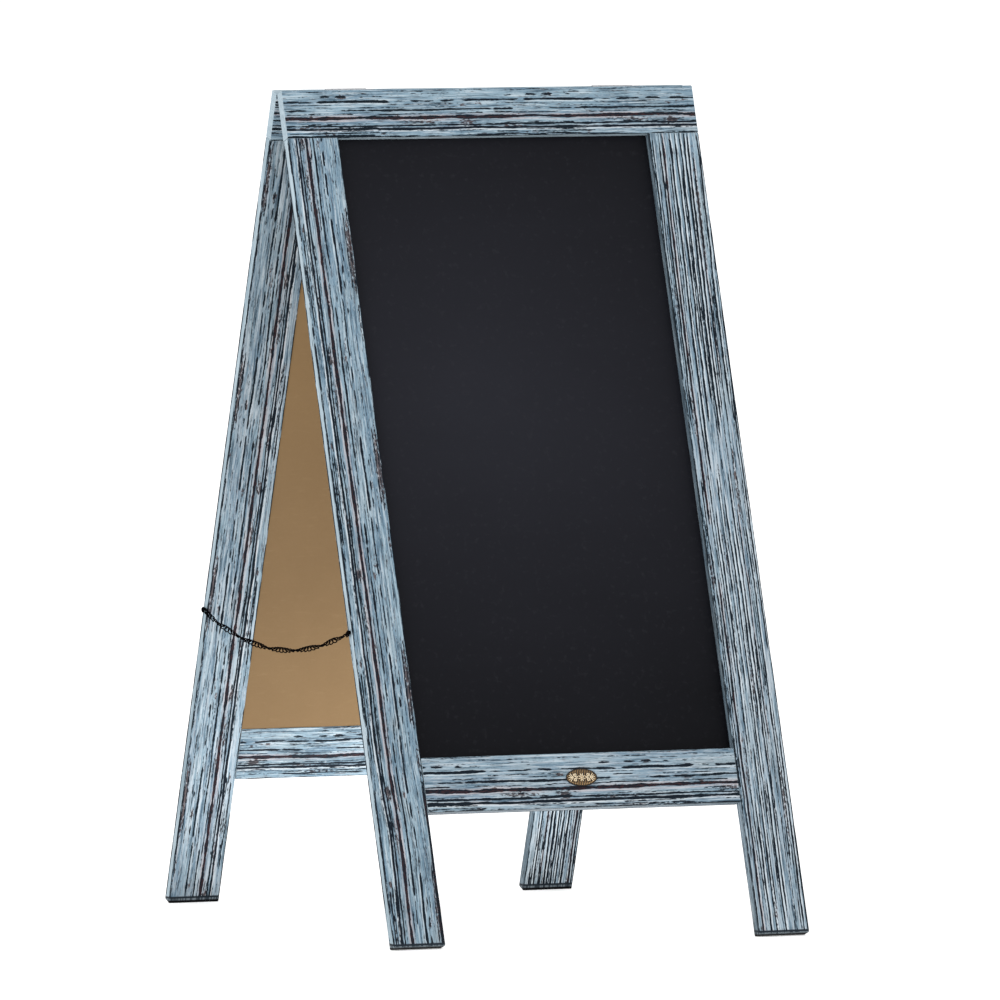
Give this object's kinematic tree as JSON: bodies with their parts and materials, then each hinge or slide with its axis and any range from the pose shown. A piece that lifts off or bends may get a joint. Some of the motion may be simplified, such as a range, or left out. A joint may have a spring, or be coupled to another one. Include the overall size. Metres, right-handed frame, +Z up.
{
  "type": "menu chalkboard easel",
  "caption": "Folding A-frame menu board: wooden frames with inset chalkboards, hinged along the top and held open by a side chain.",
  "frame": {"origin": "on the floor, midway between the feet in both directions", "axes": "+X across the width, -Y towards the front board, which carries the badge, +Z up"},
  "size_m": [0.5138, 0.6906, 0.9516],
  "materials": {
    "blue_wood": "weathered blue-grey paint on wire-brushed wood",
    "chalkboard": "matt black chalkboard coating",
    "hardboard": "smooth brown hardboard",
    "dowel_wood": "plain beech",
    "black_steel": "black lacquered steel",
    "plated_steel": "dull zinc-plated steel",
    "old_brass": "antique brass with dark recesses"
  },
  "bodies": {
    "front_frame": {"badge": "old_brass", "bottom_rail_front": "blue_wood", "chain_screw_front": "black_steel", "chalkboard_front": "chalkboard", "dowel_bottom_left_front": "dowel_wood", "dowel_bottom_right_front": "dowel_wood", "dowel_top_left_front": "dowel_wood", "dowel_top_right_front": "dowel_wood", "hardboard_front": "hardboard", "hinge_leaf_left_front": "plated_steel", "hinge_leaf_right_front": "plated_steel", "hinge_pin_left": "plated_steel", "hinge_pin_right": "plated_steel", "hinge_screw_left_front_1": "plated_steel", "hinge_screw_left_front_2": "plated_steel", "hinge_screw_right_front_1": "plated_steel", "hinge_screw_right_front_2": "plated_steel", "stile_left_front": "blue_wood", "stile_right_front": "blue_wood", "top_rail_front": "blue_wood"},
    "back_frame": {"bottom_rail_back": "blue_wood", "chain_screw_back": "black_steel", "chalkboard_back": "chalkboard", "dowel_bottom_left_back": "dowel_wood", "dowel_bottom_right_back": "dowel_wood", "dowel_top_left_back": "dowel_wood", "dowel_top_right_back": "dowel_wood", "hardboard_back": "hardboard", "hinge_leaf_left_back": "plated_steel", "hinge_leaf_right_back": "plated_steel", "hinge_screw_left_back_1": "plated_steel", "hinge_screw_left_back_2": "plated_steel", "hinge_screw_right_back_1": "plated_steel", "hinge_screw_right_back_2": "plated_steel", "stile_left_back": "blue_wood", "stile_right_back": "blue_wood", "top_rail_back": "blue_wood"},
    "chain_back_1": {"chain_back_1": "black_steel"},
    "chain_back_2": {"chain_back_2": "black_steel"},
    "chain_back_3": {"chain_back_3": "black_steel"},
    "chain_back_4": {"chain_back_4": "black_steel"},
    "chain_front_1": {"chain_front_1": "black_steel"},
    "chain_front_2": {"chain_front_2": "black_steel"},
    "chain_front_3": {"chain_front_3": "black_steel"},
    "chain_front_4": {"chain_front_4": "black_steel"}
  },
  "joints": [
    {"name": "fold", "type": "hinge", "parent": "front_frame", "child": "back_frame", "pos_m": [0, 0, 0.94845], "axis": [-1, 0, 0], "range_deg": [0, 38.6]},
    {"name": "chain_front_1_link", "type": "hinge", "parent": "front_frame", "child": "chain_front_1", "pos_m": [-0.2571, -0.21799, 0.34775], "axis": [-1, 0, 0], "range_deg": [-2, 78.23]},
    {"name": "chain_front_2_link", "type": "hinge", "parent": "chain_front_1", "child": "chain_front_2", "pos_m": [-0.2571, -0.15165, 0.33149], "axis": [-1, 0, 0], "range_deg": [-2, 6.88]},
    {"name": "chain_front_3_link", "type": "hinge", "parent": "chain_front_2", "child": "chain_front_3", "pos_m": [-0.2571, -0.08417, 0.32094], "axis": [-1, 0, 0], "range_deg": [-2, 7.08]},
    {"name": "chain_front_4_link", "type": "hinge", "parent": "chain_front_3", "child": "chain_front_4", "pos_m": [-0.2571, -0.01602, 0.31642], "axis": [-1, 0, 0], "range_deg": [-20.39, 2]},
    {"name": "chain_back_1_link", "type": "hinge", "parent": "back_frame", "child": "chain_back_1", "pos_m": [-0.2571, 0.21799, 0.34775], "axis": [1, 0, 0], "range_deg": [-2, 116.78]},
    {"name": "chain_back_2_link", "type": "hinge", "parent": "chain_back_1", "child": "chain_back_2", "pos_m": [-0.2571, 0.15321, 0.3318], "axis": [1, 0, 0], "range_deg": [-2, 6.76]},
    {"name": "chain_back_3_link", "type": "hinge", "parent": "chain_back_2", "child": "chain_back_3", "pos_m": [-0.2571, 0.08732, 0.3213], "axis": [1, 0, 0], "range_deg": [-2, 6.96]},
    {"name": "chain_back_4_link", "type": "hinge", "parent": "chain_back_3", "child": "chain_back_4", "pos_m": [-0.2571, 0.02078, 0.31653], "axis": [1, 0, 0], "range_deg": [-20.45, 2]}
  ],
  "couplings": [
    {"joint": "chain_front_1_link", "follows": "fold", "ratio": 1.9749},
    {"joint": "chain_front_2_link", "follows": "fold", "ratio": 0.12651},
    {"joint": "chain_front_3_link", "follows": "fold", "ratio": 0.13173},
    {"joint": "chain_front_4_link", "follows": "fold", "ratio": -0.47647},
    {"joint": "chain_back_1_link", "follows": "fold", "ratio": 2.9735},
    {"joint": "chain_back_2_link", "follows": "fold", "ratio": 0.12343},
    {"joint": "chain_back_3_link", "follows": "fold", "ratio": 0.12851},
    {"joint": "chain_back_4_link", "follows": "fold", "ratio": -0.47809}
  ]
}
